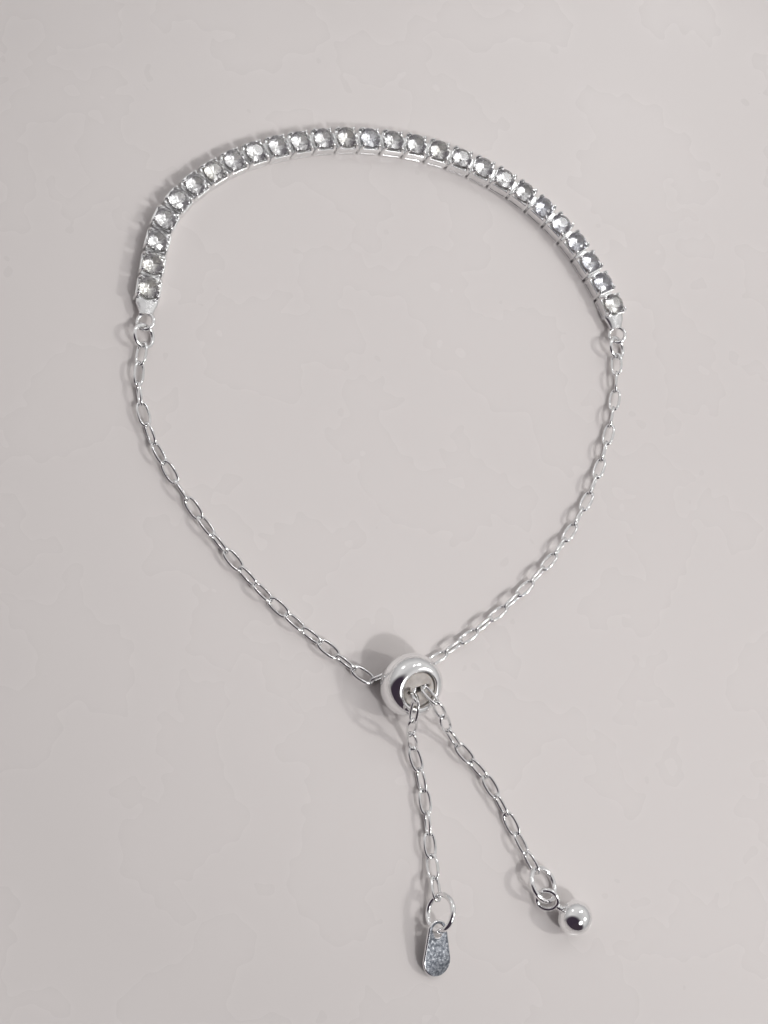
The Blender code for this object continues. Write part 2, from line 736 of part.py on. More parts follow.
def make_tag(centre, direction, material):
    """A teardrop plate with a hole, hanging from the ring at the left tail's end."""
    spoke, _ = ring_spoke(direction, LEFT_TAIL_RING_LEAN, TAG_HOOK_TURN)
    hole_place = centre + spoke * 0.5 * (TAIL_RING_OUTER - TAIL_RING_WIRE)
    outline = teardrop()
    along, side, face = resting_frame(hole_place, direction, outline)
    shape = bmesh.new()
    add_prism(shape, outline, TAG_THICKNESS, hole_place, along, side, face)
    tag = object_from_bmesh("teardrop_tag", shape, material)
    cut = bmesh.new()
    hole = arc(0.5 * TAG_HOLE, 0.0, 0.0, 360.0, HOLE_CORNERS)[1:]
    add_prism(cut, hole, TAG_WIDTH, hole_place, along, side, face)
    cutter = object_from_bmesh("tag_hole", cut)
    hollow = tag.modifiers.new("Hole", "BOOLEAN")
    hollow.operation = "DIFFERENCE"
    hollow.solver = "EXACT"
    hollow.object = cutter
    baked = baked_mesh(tag)
    tag.modifiers.clear()
    tag.data = baked
    bpy.data.objects.remove(cutter, do_unlink=True)
    return tag


def make_ball(centre, direction, material):
    """A polished ball on a short neck with an eye, in the right tail's ring."""
    heading = math.radians(BALL_HEADING)
    spoke, wire = ring_spoke(direction, RIGHT_TAIL_RING_LEAN, BALL_HOOK_TURN)
    hooked = centre + spoke * 0.5 * (TAIL_RING_OUTER - TAIL_RING_WIRE)
    radius = 0.5 * BALL_DIAMETER
    ball_reach = BALL_EYE_RADIUS + 0.5 * BALL_EYE_WIRE + BALL_NECK_LENGTH + radius
    taut = BALL_EYE_RADIUS - 0.5 * (TAIL_RING_WIRE + BALL_EYE_WIRE) - RING_CLEARANCE
    hook = taut - BALL_SLACK
    fall = math.asin((hooked[2] - radius - CHAIN_LIFT) / (hook + ball_reach))
    along = np.array([math.cos(heading) * math.cos(fall), math.sin(heading) * math.cos(fall),
                      -math.sin(fall)])
    eye = hooked + along * hook
    ball = eye + along * ball_reach
    profile = [(0.0, -radius)]
    steps = BALL_SEGMENTS // 2
    for step in range(1, steps):
        angle = math.pi * step / steps
        profile.append((radius * math.sin(angle), -radius * math.cos(angle)))
    profile.append((0.0, radius))
    shape = bmesh.new()
    add_turned(shape, ball, along, profile, BALL_SEGMENTS)
    charm = object_from_bmesh("ball_charm", shape, material)
    neck = bmesh.new()
    start = -radius - BALL_NECK_LENGTH - 0.5 * BALL_EYE_WIRE
    finish = -radius + BALL_NECK_DIAMETER
    neck_profile = [(0.0, start), (0.5 * BALL_NECK_DIAMETER, start),
                    (0.5 * BALL_NECK_DIAMETER, finish), (0.0, finish)]
    add_turned(neck, ball, along, neck_profile, NECK_SEGMENTS)
    joined_solid(charm, object_from_bmesh("ball_neck", neck, material))
    loop = bmesh.new()
    add_ring(loop, eye, threaded_frame(along, wire), BALL_EYE_RADIUS, BALL_EYE_WIRE)
    return joined_solid(charm, object_from_bmesh("ball_eye", loop, material))


def centre_on_origin():
    """Move every mesh so that the origin lies under the middle of the whole piece."""
    corners = np.array([vertex.co for item in bpy.data.objects for vertex in item.data.vertices])
    middle = 0.5 * (corners.min(axis=0) + corners.max(axis=0))
    for item in bpy.data.objects:
        item.data.transform(Matrix.Translation((-middle[0], -middle[1], 0.0)))


def main():
    remove_scene_objects()
    silver = metal("bright_silver", (0.93, 0.93, 0.92), 0.12)
    brushed = metal("brushed_silver", (0.74, 0.78, 0.82), 0.35)
    crystal = principled("clear_crystal", (0.95, 0.96, 1.0), 0.02, 0.0)
    silicone = principled("pale_silicone", (0.82, 0.77, 0.70), 0.55, 0.0)

    centres, tangents, outwards = row_places()
    make_settings(centres, tangents, outwards, silver)
    make_stones(centres, tangents, crystal)
    make_bead(silver)
    make_core(silicone)

    for name, place, outward, tail_lean in (
            ("left", centres[0], outwards[0], LEFT_TAIL_RING_LEAN),
            ("right", centres[-1], outwards[1], RIGHT_TAIL_RING_LEAN)):
        _, eye = tab_spots(place, outward)
        towards = with_height(ROUTES[name])[0]
        ring_centre, direction = jump_ring_spot(eye, towards)
        make_jump_ring("jump_ring_" + name, ring_centre, direction, silver)
        start = ring_joint_spot(ring_centre, direction, RING_OUTER, RING_WIRE)
        joints, run_links = strand_joints(name, start)
        make_chain("chain_" + name, joints, lay_of_strand(name, run_links), silver)
        tail_centre, tail_direction = tail_ring_spot(joints, tail_lean)
        make_tail_ring("tail_ring_" + name, tail_centre, tail_direction, tail_lean, silver)
        if name == "left":
            make_tag(tail_centre, tail_direction, brushed)
        else:
            make_ball(tail_centre, tail_direction, silver)
    centre_on_origin()


main()
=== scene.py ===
"""Looks of a half tennis bracelet with a sliding bead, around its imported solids.

Metres in the frame, millimetres in this script's own sizes, turned to metres by MM.
The layout repeats the part's own routes, in the plan that its camera was fitted in.
"""

import math
import random

import bmesh
import bpy
import numpy as np
from mathutils import Matrix, Vector


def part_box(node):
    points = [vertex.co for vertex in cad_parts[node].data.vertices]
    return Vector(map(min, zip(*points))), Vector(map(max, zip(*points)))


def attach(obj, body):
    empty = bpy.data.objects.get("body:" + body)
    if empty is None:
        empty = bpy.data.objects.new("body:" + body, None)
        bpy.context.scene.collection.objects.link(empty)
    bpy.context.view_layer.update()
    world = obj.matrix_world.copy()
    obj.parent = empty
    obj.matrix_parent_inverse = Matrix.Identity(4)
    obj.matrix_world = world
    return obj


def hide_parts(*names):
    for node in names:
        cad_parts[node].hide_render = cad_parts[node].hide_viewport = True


MM = 0.001
UP = np.array([0.0, 0.0, 1.0])

# Row of stones and their settings
STONE_COUNT = 27
STONE_DIAMETER = 3.0
STONE_PITCH = 3.55
STONE_GIRDLE_HEIGHT = 2.2
GIRDLE_THICKNESS = 0.07
CROWN_HEIGHT = 0.45
PAVILION_DEPTH = 1.2
TABLE_SHARE = 0.56
STAR_SHARE = 0.75
LOWER_SHARE = 0.25
# Main facets around the crown, and the half facets beside them
MAINS = 8
HALVES = 2 * MAINS
STONE_TILT = 5.5
STONE_SEED = 5
TINT_CHOICES = (0, 0, 1, 0, 2)
MIDDLE_STONE = 14
BOX_LENGTH = 3.15
BOX_WIDTH = 3.4
POST_SIZE = 0.5
# Rows of a claw: height, radius, reach towards the stone
CLAW_ROWS = [(0.0, 0.22, 0.0), (0.06, 0.27, 0.0), (1.3, 0.27, 0.0), (1.8, 0.26, 0.02),
             (2.1, 0.24, 0.07), (2.3, 0.22, 0.17), (2.42, 0.2, 0.3), (2.47, 0.17, 0.4),
             (2.47, 0.13, 0.48), (2.46, 0.06, 0.53)]
CLAW_SIDES = 12
# Lower rails are square; upper rails reach from one height to the other
RAIL_SIZE = 0.46
RAIL_LIFT = 0.01
TOP_RAIL = (0.48, 1.74)
RAIL_ROUNDING = 0.1
# Bars between the boxes: width and height
HINGE = (2.6, 1.1)
HINGE_LEVEL = 0.66
HINGE_ROUNDING = 0.12
CORNER_STEPS = 3

# Tabs and rings
TAB_LENGTH = 1.9
TAB_TIP_WIDTH = 1.9
TAB_THICKNESS = 0.9
TAB_INSET = 0.2
# Rows of a tab: distance and share of its width; section: shares of half width and half height
TAB_ROWS = [(-0.3, 1.0), (0.35, 1.0), (0.6, 0.95), (1.1, 0.8), (1.6, 0.68)]
TAB_SECTION = [(1, 0.3), (0.88, 0.72), (0.6, 0.98), (0.25, 1.12), (-0.25, 1.12), (-0.6, 0.98),
               (-0.88, 0.72), (-1, 0.3), (-1, -0.5), (-0.85, -1.0), (0.85, -1.0), (1, -0.5)]
EYE_OVERLAP = 0.4
EYE_RADIUS = 1.15
EYE_WIRE = 0.5
EYE_HEIGHT = 1.25
EYE_LEAN = 30.0
RING_WIRE = 0.6
RING_OUTER = 3.7
RING_LEAN = -30.0
TAIL_RING_WIRE = 0.72
TAIL_RING_OUTER = 5.2
LEFT_TAIL_RING_LEAN = 65.0
RIGHT_TAIL_RING_LEAN = -29.0
RING_CLEARANCE = 0.1
RING_RADIUS = 0.5 * (RING_OUTER - RING_WIRE)
TAIL_RING_RADIUS = 0.5 * (TAIL_RING_OUTER - TAIL_RING_WIRE)
RING_SEGMENTS = 56
RING_SIDES = 16

# Cable chain
LINK_WIRE = 0.42
LINK_WIDTH = 1.85
LINK_PITCH = 2.774
LINK_OVERLAP = 0.06
LINK_SQUARENESS = 2.5
LINK_STEPS = 32
LINK_SIDES = 12
CHAIN_LIFT = 0.01
TAIL_LINKS = 11

# Bead and core
BEAD_DIAMETER = 8.4
BEAD_THICKNESS = 4.7
BEAD_FACE_RADIUS = 2.6
BEAD_TILT = 28.6
BEAD_HEADING = -69.2
BORE_CHAMFER = 0.25
# Rounded rim of the hole: distances out from the bore and in from the face
BORE_RIM = [(0.0, BORE_CHAMFER), (0.06, 0.06), (0.16, 0.0)]
BEAD_STEPS = 40
BEAD_SEGMENTS = 128
SOLID_BEAD_STEPS = 7
CORE_DIAMETER = 4.6
CORE_CLEARANCE = 0.1
CORE_FRONT_INSET = 0.35
CORE_BACK_INSET = 0.75
LIP_WIDTH = 3.1
LIP_HEIGHT = 0.7
LIP_ROUNDNESS = 0.7
# Rows of the core: shares of its radius (none in the slot) and of the slot, end and inset from it
CORE_ROWS = [(1.0, 1.0, "back", 0.2), (1.0, 1.0, "front", 0.25), (0.985, 1.0, "front", 0.1),
             (0.93, 1.0, "front", 0.0), (0.8, 1.0, "front", 0.0), (0.0, 1.12, "front", 0.06),
             (0.0, 1.04, "front", 0.2), (0.0, 1.0, "front", 0.45), (0.0, 1.0, "back", 0.1),
             (0.9, 1.0, "back", 0.0)]
CORE_SEGMENTS = 96
STRAND_OFFSET = 0.75
FRONT_JOINT_INSET = 0.5

# Charms
TAG_LENGTH = 7.2
TAG_WIDTH = 4.1
TAG_NECK_WIDTH = 2.8
TAG_THICKNESS = 0.45
TAG_HOLE = 1.7
TAG_LEAN = -12.0
TAG_HOOK_TURN = 30.0
# Outline of the tag: degrees of its neck's arc, and the steps of its two arcs
TAG_NECK_ARC = 150.0
TAG_STEPS = (24, 40)
SOLID_TAG_STEPS = (6, 10)
# Edge of the tag and of its hole: margin and share of the half thickness, from side to face
TAG_RIM = [(0.0, 0.35), (0.05, 0.75), (0.16, 1.0)]
TAG_HOLE_RIM = [(0.0, 0.3), (0.03, 0.7), (0.12, 1.0)]
BALL_DIAMETER = 4.5
BALL_STEPS = 47
BALL_SEGMENTS = 72
BALL_NECK_LENGTH = 0.3
BALL_NECK_DIAMETER = 1.0
# Rows of the neck: shares of its radius and places from its far end; its foot in front of the ball
BALL_NECK_ROWS = [(0.0, -0.2), (0.8, -0.2), (1.0, 0.0)]
BALL_NECK_FOOT = (0.85, 0.15)
BALL_EYE_RADIUS = 1.375
BALL_EYE_WIRE = 0.65
BALL_HOOK_TURN = 12.0
BALL_SLACK = 0.9
BALL_HEADING = -35.0

# Chosen points of the routes and the leans of the links, as in the part
BEAD_PLACE = (-0.97, -23.09)
ROUTES = {
    "row": [(-34.9, 24.4), (-34.4, 30.1), (-31.6, 41.3), (-23.7, 49.5), (-13.3, 54.4), (-2.1, 56.6),
            (9.4, 55.9), (20.2, 51.9), (28.9, 44.5), (34.6, 34.5), (35.1, 28.9)],
    "left": [(-35.8, 16.0), (-34.0, 9.0), (-30.4, 2.6), (-26.2, -3.4), (-21.5, -9.0),
             (-16.3, -14.0), (-10.7, -18.4), (-5.45, -22.1), (-2.74, -21.3)],
    "right": [(34.1, 20.9), (32.1, 13.7), (29.3, 6.8), (25.5, 0.3), (20.8, -5.5),
              (15.3, -10.7), (9.3, -15.3), (2.6, -19.6), (-0.2, -20.54)],
    "left_tail": [(-1.9, -26.1, 7.3), (-2.0, -27.8, 6.0), (-1.3, -29.3, 3.4), (-0.4, -30.9, 1.1),
                  (0.4, -33.6), (1.0, -37.7), (1.35, -44.5), (1.6, -51.5, 2.1)],
    "right_tail": [(1.2, -25.8, 6.2), (2.7, -27.3, 4.4), (4.2, -28.8, 2.4), (5.9, -30.5, 1.1),
                   (7.1, -31.8), (9.6, -34.6), (12.4, -39.8), (14.2, -43.6), (17.2, -50.0, 2.0)],
}
LEANS = {"F": 0.0, "S": 75.0, "E": -90.0, "L": -30.0, "R": 45.0, "D": -65.0}
RUN_LAYS = {"left": "RLSFEFSLRLSFELRDRLSFELR", "right": "RL" + "DR" * 11}
TAIL_LAYS = {"left": "LSFSFSFEFRL", "right": "LSFEFSFERLS"}

# Searches: steps along a route, halvings, rounds and limits
ROUTE_STEPS = 40
WALK_HALVINGS = 30
STEP_HALVINGS = 50
STEP_RANGE = (0.8, 1.05)
LEAST_SQUARE_REACH = 0.01
RING_ROUNDS = 40
STEEPEST_RISE = 0.7
DIP_HALVINGS = 30
DEEPEST_DIP = 1.2

# A direction in which no turned shape points
OFF_AXIS = (0.0, 1.0, 0.31)

# Looks
SHARP_ANGLE = 38.0
NOISE_ROUGHNESS = 0.55
DULL_SHARE = 0.86
CRYSTAL_ROUGHNESS = 0.14
CRYSTAL_IOR = 1.98

# Room: colours by the sine of the height, then patches: azimuth, elevation, inner and outer
# angle in degrees, as seen from the piece, and colour
ROOM_STOPS = [(0.0, (0.34, 0.335, 0.34)), (0.1, (0.38, 0.375, 0.375)), (0.3, (0.46, 0.45, 0.45)),
              (0.5, (0.58, 0.57, 0.565)), (0.85, (0.52, 0.51, 0.51)), (1.0, (0.42, 0.415, 0.415))]
ROOM_PATCHES = [(230.0, 32.0, 40.0, 60.0, (0.035, 0.026, 0.038)),
                (272.0, 18.0, 24.0, 40.0, (0.04, 0.03, 0.04)),
                (-16.0, 43.0, 6.0, 11.0, (2.5, 2.5, 2.42)), (-66.0, 50.0, 9.0, 14.0, (2.5, 2.5, 2.5)),
                (50.0, 47.0, 4.0, 6.0, (4.5, 4.5, 4.5)), (68.0, 55.0, 2.0, 4.0, (4.5, 4.5, 4.5)),
                (121.0, 33.0, 4.0, 8.0, (1.4, 1.4, 1.4))]
ROOM_STRENGTH = 1.25

# Floor: half its side, the centre of a pool of light painted into its colour, and the painted shade
# that darkens its colour by distance from there, in metres
FLOOR_HALF = 1.5
FLOOR_PAINTED_LIGHT_SPOT = (0.045, 0.02, 0.0)
FLOOR_PAINTED_SHADE = [(0.035, 0.97), (0.07, 0.94), (0.11, 0.82)]

# Lamps: azimuth, elevation, watts and colour; their size and distance in metres
LAMPS = [("lamp_right", -16.0, 44.0, 1.95, (1.0, 0.99, 0.97)),
         ("lamp_low", -66.0, 51.0, 2.6, (1.0, 1.0, 1.0))]
LAMP_SIZE = 0.075
LAMP_DISTANCE = 1.0

# Camera, in the plan of the routes
CAMERA_PLACE = (-78.7, -64.0, 206.22587)
CAMERA_TILT = 25.99103779
CAMERA_ROLL = 49.522254
FOCAL_PIXELS = 1700.0
IMAGE_HEIGHT = 1024
SENSOR = 36.0
CLIP_START = 0.005


def unit(vector):
    return vector / np.linalg.norm(vector)


def toward(azimuth, elevation):
    """The direction of a place in the room, as a unit vector."""
    turn, rise = math.radians(azimuth), math.radians(elevation)
    return math.cos(turn) * math.cos(rise), math.sin(turn) * math.cos(rise), math.sin(rise)


def smooth_route(points):
    """A smooth curve through the chosen points, as many short steps."""
    knots = np.array(points, float)
    knots = np.vstack([2 * knots[0] - knots[1], knots, 2 * knots[-1] - knots[-2]])
    share = np.linspace(0.0, 1.0, ROUTE_STEPS, endpoint=False)[:, None]
    curve = []
    for before, start, end, after in zip(knots, knots[1:], knots[2:], knots[3:]):
        curve.append(0.5 * (2 * start + (end - before) * share
                            + (2 * before - 5 * start + 4 * end - after) * share ** 2
                            + (3 * start - before - 3 * end + after) * share ** 3))
    curve.append(knots[-2:-1])
    return np.vstack(curve)


def walk(curve, step, count):
    """Points on the curve a straight step apart, starting at its first point."""
    places = [curve[0]]
    index = 1
    while index < len(curve) and len(places) <= count:
        here = places[-1]
        if np.linalg.norm(curve[index] - here) < step:
            index += 1
            continue
        low, high = 0.0, 1.0
        for _ in range(WALK_HALVINGS):
            middle = 0.5 * (low + high)
            point = curve[index - 1] + (curve[index] - curve[index - 1]) * middle
            if np.linalg.norm(point - here) < step:
                low = middle
            else:
                high = middle
        places.append(curve[index - 1] + (curve[index] - curve[index - 1]) * high)
    return np.array(places)


def step_that_fits(curve, wanted):
    """The step nearest the wanted one that ends exactly on the curve's last point."""
    length = np.linalg.norm(np.diff(curve, axis=0), axis=1).sum()
    count = max(2, round(length / wanted))
    low, high = (share * length / count for share in STEP_RANGE)
    for _ in range(STEP_HALVINGS):
        middle = 0.5 * (low + high)
        if len(walk(curve, middle, count)) == count + 1:
            low = middle
        else:
            high = middle
    return low, count


def frame_along(direction):
    """Unit vectors along a direction, sideways from it and up from it."""
    forward = unit(np.asarray(direction, float))
    side = unit(np.cross(forward, UP))
    return forward, side, np.cross(side, forward)


def leaning_frame(direction, lean):
    """Along, width and face vectors of a flat loop that leans about its length."""
    forward, side, up = frame_along(direction)
    turn = math.radians(lean)
    width = side * math.cos(turn) - up * math.sin(turn)
    face = up * math.cos(turn) + side * math.sin(turn)
    return forward, width, face


def threaded_frame(along, wire):
    """Along, width and face vectors of a flat loop that a wire passes straight through."""
    forward = unit(along)
    face = unit(wire - forward * (forward @ wire))
    return forward, np.cross(face, forward), face


def row_places():
    """Centres and directions of the settings, and the directions of the two end tabs."""
    curve = smooth_route([(*point, 0.0) for point in ROUTES["row"]])
    lengths = np.concatenate([[0.0], np.cumsum(np.linalg.norm(np.diff(curve, axis=0), axis=1))])

    def spot(reach):
        if reach < 0.0:
            return curve[0] + unit(curve[0] - curve[1]) * -reach
        if reach > lengths[-1]:
            return curve[-1] + unit(curve[-1] - curve[-2]) * (reach - lengths[-1])
        return np.array([np.interp(reach, lengths, curve[:, axis]) for axis in range(3)])

    centres, tangents = [], []
    for index in range(STONE_COUNT):
        reach = 0.5 * lengths[-1] + STONE_PITCH * (index - 0.5 * (STONE_COUNT - 1))
        half = 0.5 * STONE_PITCH
        centres.append(spot(reach))
        tangents.append(unit(spot(reach + half) - spot(reach - half)))
    end_reach = 0.5 * STONE_PITCH * (STONE_COUNT - 1)
    outwards = []
    for sign in (-1.0, 1.0):
        last = 0.5 * lengths[-1] + sign * end_reach
        eye = last + sign * (0.5 * BOX_LENGTH + TAB_LENGTH + EYE_RADIUS)
        outwards.append(unit(spot(eye) - spot(last)))
    return centres, tangents, outwards


def chain_level():
    return 0.5 * LINK_WIDTH + CHAIN_LIFT


def with_height(points):
    return [np.array(point if len(point) == 3 else (*point, chain_level()), float)
            for point in points]


def lifted(curve):
    return np.maximum(curve, (-np.inf, -np.inf, chain_level()))


def solid_bead_profile():
    """The section of the solid bead, whose lowest corner sets the bead's height."""
    half = 0.5 * BEAD_THICKNESS
    bulge = 0.5 * BEAD_DIAMETER - BEAD_FACE_RADIUS
    angles = [math.pi * (step / SOLID_BEAD_STEPS - 0.5) for step in range(SOLID_BEAD_STEPS + 1)]
    return [(BEAD_FACE_RADIUS + bulge * math.cos(a), half * math.sin(a)) for a in angles]


def bead_frame():
    """Place of the bead's middle, and its axis, level side and downhill vectors."""
    tilt, heading = math.radians(BEAD_TILT), math.radians(BEAD_HEADING)
    level = np.array([math.cos(heading), math.sin(heading), 0.0])
    axis = level * math.sin(tilt) + UP * math.cos(tilt)
    downhill = level * math.cos(tilt) - UP * math.sin(tilt)
    side = np.array([-level[1], level[0], 0.0])
    height = max(radius * math.sin(tilt) + along * math.cos(tilt)
                 for radius, along in solid_bead_profile())
    return np.array([*BEAD_PLACE, height]), axis, side, downhill


def strand_joints(side_name, ring_joint):
    """All the joints of a strand, from its jump ring through the bead to the tail's end."""
    middle, axis, side, _ = bead_frame()
    offset = STRAND_OFFSET if side_name == "right" else -STRAND_OFFSET
    front = middle + side * offset + axis * (0.5 * BEAD_THICKNESS - FRONT_JOINT_INSET)
    back = front - axis * LINK_PITCH
    route = with_height(ROUTES[side_name])
    under = route[-1]
    drop = under - back
    sideways = unit(drop[:2]) * math.sqrt(max(LEAST_SQUARE_REACH, LINK_PITCH ** 2 - drop[2] ** 2))
    under = np.array([back[0] + sideways[0], back[1] + sideways[1], under[2]])
    curve = lifted(smooth_route([ring_joint] + route[:-1] + [under]))
    step, count = step_that_fits(curve, LINK_PITCH)
    run = walk(curve, step, count)
    run[-1] = under
    tail_curve = lifted(smooth_route([front] + with_height(ROUTES[side_name + "_tail"])))
    tail = walk(tail_curve, LINK_PITCH, TAIL_LINKS)
    return np.vstack([run, back, tail]), count + 2


def lay_of_strand(side_name, run_links):
    run_lay, tail_lay = RUN_LAYS[side_name], TAIL_LAYS[side_name]
    run = [run_lay[index % len(run_lay)] for index in range(run_links)]
    tail = [tail_lay[index % len(tail_lay)] for index in range(TAIL_LINKS)]
    return run[::-1] + tail


def tail_ring_spot(joints, lean):
    """Centre and direction of the ring in a tail's last link, its low edge on the surface."""
    end = joints[-1]
    level = unit((end - joints[-2]) * (1.0, 1.0, 0.0))
    reach = 0.5 * TAIL_RING_OUTER - TAIL_RING_WIRE - RING_CLEARANCE - 0.5 * LINK_OVERLAP
    rise = 0.0
    for _ in range(RING_ROUNDS):
        direction = level * math.sqrt(1.0 - rise ** 2) + UP * rise
        _, width, _ = leaning_frame(direction, lean)
        height = TAIL_RING_RADIUS * math.hypot(width[2], rise) + 0.5 * TAIL_RING_WIRE + CHAIN_LIFT
        wanted = (height - end[2]) / reach
        rise = 0.5 * rise + 0.5 * max(-STEEPEST_RISE, min(STEEPEST_RISE, wanted))
    return end + direction * reach, direction


def ring_spoke(direction, lean, turn):
    """From a ring's middle to a place turned from its far end, and the wire's way there."""
    forward, width, _ = leaning_frame(direction, lean)
    angle = math.radians(turn)
    spoke = forward * math.cos(angle) + width * math.sin(angle)
    return spoke, width * math.cos(angle) - forward * math.sin(angle)


class Shape:
    """Vertices and faces in millimetres that grow piece by piece."""

    def __init__(self):
        self.verts = []
        self.faces = []

    def add(self, verts, faces):
        base = len(self.verts)
        self.verts += [tuple(vert) for vert in verts]
        self.faces += [tuple(base + index for index in face) for face in faces]

    def loft(self, verts, count, closed=True, flipped=False):
        """Join loops of as many vertices each, the last to the first or with a cap at each end."""
        loops = len(verts) // count
        faces = []
        for loop in range(loops if closed else loops - 1):
            here, there = loop * count, (loop + 1) % loops * count
            for index in range(count):
                onward = (index + 1) % count
                face = (here + index, there + index, there + onward, here + onward)
                faces.append((face[0], *face[:0:-1]) if flipped else face)
        if not closed:
            faces.append(tuple(range(count)))
            faces.append(tuple(reversed(range((loops - 1) * count, loops * count))))
        self.add(verts, faces)

    def tube(self, centres, outwards, binormals, radius, sides, closed=True):
        """A round wire along a path; radius is one number or one for each centre."""
        radii = np.broadcast_to(radius, len(centres))
        verts = []
        for centre, outward, binormal, size in zip(centres, outwards, binormals, radii):
            for side in range(sides):
                angle = math.tau * side / sides
                verts.append(centre + size * (outward * math.cos(angle) + binormal * math.sin(angle)))
        self.loft(verts, sides, closed)

    def ring(self, centre, axes, radius, wire):
        forward, width, face = axes
        centres, outwards = [], []
        for index in range(RING_SEGMENTS):
            angle = math.tau * index / RING_SEGMENTS
            outward = forward * math.cos(angle) + width * math.sin(angle)
            centres.append(centre + radius * outward)
            outwards.append(outward)
        self.tube(centres, outwards, [face] * RING_SEGMENTS, 0.5 * wire, RING_SIDES)

    def turned(self, centre, axis, profile, segments):
        """Turn a profile of (radius, along) about an axis; it closes if it starts off the axis."""
        side = unit(np.cross(axis, OFF_AXIS))
        other = np.cross(axis, side)
        verts, rings = [], []
        for radius, along in profile:
            if radius == 0.0:
                rings.append([len(verts)])
                verts.append(centre + along * axis)
                continue
            start = len(verts)
            for index in range(segments):
                angle = math.tau * index / segments
                spoke = side * math.cos(angle) + other * math.sin(angle)
                verts.append(centre + radius * spoke + along * axis)
            rings.append(list(range(start, start + segments)))
        pairs = list(zip(rings, rings[1:]))
        if profile[0][0] > 0.0:
            pairs.append((rings[-1], rings[0]))
        faces = []
        for lower, upper in pairs:
            for index in range(segments):
                onward = (index + 1) % segments
                corners = [lower[index % len(lower)], lower[onward % len(lower)],
                           upper[onward % len(upper)], upper[index % len(upper)]]
                faces.append(tuple(dict.fromkeys(corners)))
        self.add(verts, faces)

    def rounded_bar(self, centre, axes, sizes, radius):
        """A box with rounded long edges and domed ends, along the first axis."""
        along, side, up = axes
        length, wide, high = sizes
        section = []
        for quarter, (sy, sz) in enumerate(((1, 1), (-1, 1), (-1, -1), (1, -1))):
            for step in range(CORNER_STEPS + 1):
                angle = math.pi / 2 * (quarter + step / CORNER_STEPS)
                section.append((sy * (0.5 * wide - radius) + radius * math.cos(angle),
                                sz * (0.5 * high - radius) + radius * math.sin(angle)))
        verts = []
        levels = [(-0.5 * length, radius), (-0.5 * length + radius, 0.0),
                  (0.5 * length - radius, 0.0), (0.5 * length, radius)]
        for place, inset in levels:
            shrink_y = (0.5 * wide - inset) / (0.5 * wide)
            shrink_z = (0.5 * high - inset) / (0.5 * high)
            for y, z in section:
                verts.append(centre + along * place + side * y * shrink_y + up * z * shrink_z)
        self.loft(verts, len(section), closed=False)


def make_piece(name, shape, material, nodes, shift, smooth=True):
    """Turn a shape into an object that rides on the frame in place of CAD nodes."""
    mesh = bpy.data.meshes.new(name)
    verts = (np.array(shape.verts) - (shift[0], shift[1], 0.0)) * MM
    mesh.from_pydata(verts.tolist(), [], shape.faces)
    mesh.materials.append(material)
    mesh.validate()
    work = bpy.data.objects.new(name, mesh)
    bpy.context.scene.collection.objects.link(work)
    outward_normals(mesh)
    mesh.polygons.foreach_set("use_smooth", [smooth] * len(mesh.polygons))
    if smooth:
        mesh.set_sharp_from_angle(angle=math.radians(SHARP_ANGLE))
    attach(work, "root")
    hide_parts(*nodes)
    return work


def outward_normals(mesh):
    shape = bmesh.new()
    shape.from_mesh(mesh)
    bmesh.ops.recalc_face_normals(shape, faces=shape.faces)
    shape.to_mesh(mesh)
    shape.free()


def link_shape(shape, start, end, lean):
    """An oval link whose inner ends touch its neighbours' at the two joints."""
    forward, width, face = leaning_frame(end - start, lean)
    centre = 0.5 * (start + end)
    half_length = 0.5 * (np.linalg.norm(end - start) - LINK_OVERLAP + LINK_WIRE)
    half_width = 0.5 * (LINK_WIDTH - LINK_WIRE)
    power = 2.0 / LINK_SQUARENESS
    centres, outwards = [], []
    for step in range(LINK_STEPS):
        angle = math.tau * (step + 0.5) / LINK_STEPS
        c, s = math.cos(angle), math.sin(angle)
        x = half_length * math.copysign(abs(c) ** power, c)
        y = half_width * math.copysign(abs(s) ** power, s)
        slope_x = math.copysign(abs(c) ** (2.0 - power), c) / half_length
        slope_y = math.copysign(abs(s) ** (2.0 - power), s) / half_width
        centres.append(centre + forward * x + width * y)
        outwards.append(unit(forward * slope_x + width * slope_y))
    shape.tube(centres, outwards, [face] * LINK_STEPS, 0.5 * LINK_WIRE, LINK_SIDES)


